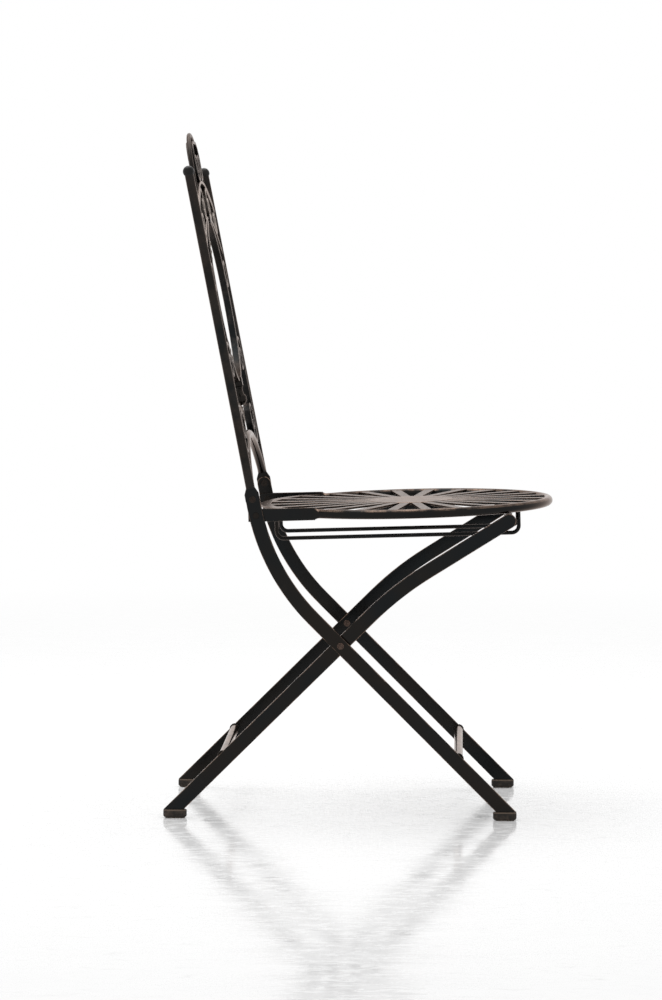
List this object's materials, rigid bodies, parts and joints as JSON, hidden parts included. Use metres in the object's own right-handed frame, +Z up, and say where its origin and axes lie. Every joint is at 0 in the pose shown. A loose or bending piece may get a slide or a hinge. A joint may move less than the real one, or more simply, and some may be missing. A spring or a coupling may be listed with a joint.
{
  "type": "folding garden chair",
  "caption": "Folding wrought-iron style garden chair with a round sunburst seat, crossed flat-bar legs and a scrollwork back between ball-topped posts.",
  "frame": {"origin": "on the floor, under the middle of the open chair's box", "axes": "+X to the front of the seat, +Y to the chair's left, +Z up"},
  "size_m": [0.5476, 0.404, 0.9601],
  "materials": {
    "frame_iron": "semi-gloss black lacquer over steel, rubbed to bronze along the edges",
    "seat_iron": "semi-gloss black lacquer over flat steel, lightly rubbed",
    "scroll_iron": "black lacquer brushed with bronze on the raised ornament",
    "rivet": "lacquered steel rivet worn to a copper brown",
    "ball_cap": "moulded ball plug, satin black",
    "foot_cap": "moulded foot cap, matt black"
  },
  "bodies": {
    "back_frame": {"arch_scroll": "scroll_iron", "back_post_left": "frame_iron", "back_post_right": "frame_iron", "bottom_arch": "frame_iron", "cross_pivot_rivets": "rivet", "fleur": "scroll_iron", "front_foot_left": "foot_cap", "front_foot_right": "foot_cap", "front_leg_left": "frame_iron", "front_leg_right": "frame_iron", "front_stretcher": "frame_iron", "hanging_leaf": "scroll_iron", "lower_scroll_left": "scroll_iron", "lower_scroll_right": "scroll_iron", "medallion_ring": "scroll_iron", "mid_rail": "scroll_iron", "palmette_leaf": "scroll_iron", "pivot_spacers": "rivet", "post_finial_left": "ball_cap", "post_finial_right": "ball_cap", "post_rivets": "rivet", "scroll_collars": "scroll_iron", "seat_pivot_rivets": "rivet", "side_ring_left": "scroll_iron", "side_ring_right": "scroll_iron", "standing_leaf": "scroll_iron", "top_arch": "scroll_iron", "upper_rail": "scroll_iron", "upper_scroll_left": "scroll_iron", "upper_scroll_right": "scroll_iron"},
    "seat": {"seat_slats_01": "seat_iron", "seat_slats_02": "seat_iron", "seat_slats_03": "seat_iron", "seat_slats_04": "seat_iron", "seat_slats_05": "seat_iron", "seat_slats_06": "seat_iron", "seat_slats_07": "seat_iron", "seat_slats_08": "seat_iron", "seat_slats_09": "seat_iron", "seat_slats_10": "seat_iron", "seat_slats_11": "seat_iron", "seat_slats_12": "seat_iron", "seat_ring": "frame_iron", "rear_rim": "seat_iron", "hub_disc": "seat_iron", "hub_ring": "seat_iron", "guide_rod_right": "frame_iron", "guide_rod_left": "frame_iron"},
    "rear_legs": {"rear_leg_right": "frame_iron", "rear_leg_left": "frame_iron", "rear_foot_right": "foot_cap", "rear_foot_left": "foot_cap", "rear_stretcher": "frame_iron"},
    "crossbar": {"crossbar": "frame_iron"}
  },
  "joints": [
    {"name": "seat_fold", "type": "hinge", "parent": "back_frame", "child": "seat", "pos_m": [-0.14226, 0, 0.42655], "axis": [0, -1, 0], "range_deg": [0, 78]},
    {"name": "rear_leg_fold", "type": "hinge", "parent": "back_frame", "child": "rear_legs", "pos_m": [-0.02435, 0, 0.2443], "axis": [0, -1, 0], "range_deg": [0, 69.64]},
    {"name": "crossbar_slide", "type": "slide", "parent": "seat", "child": "crossbar", "axis": [-0.9996, 0, -0.0279], "range_m": [0, 0.24889]}
  ],
  "couplings": [
    {"joint": "rear_leg_fold", "follows": "seat_fold", "ratio": 0.89269},
    {"joint": "crossbar_slide", "follows": "seat_fold", "m_per_rad": 0.18279}
  ]
}
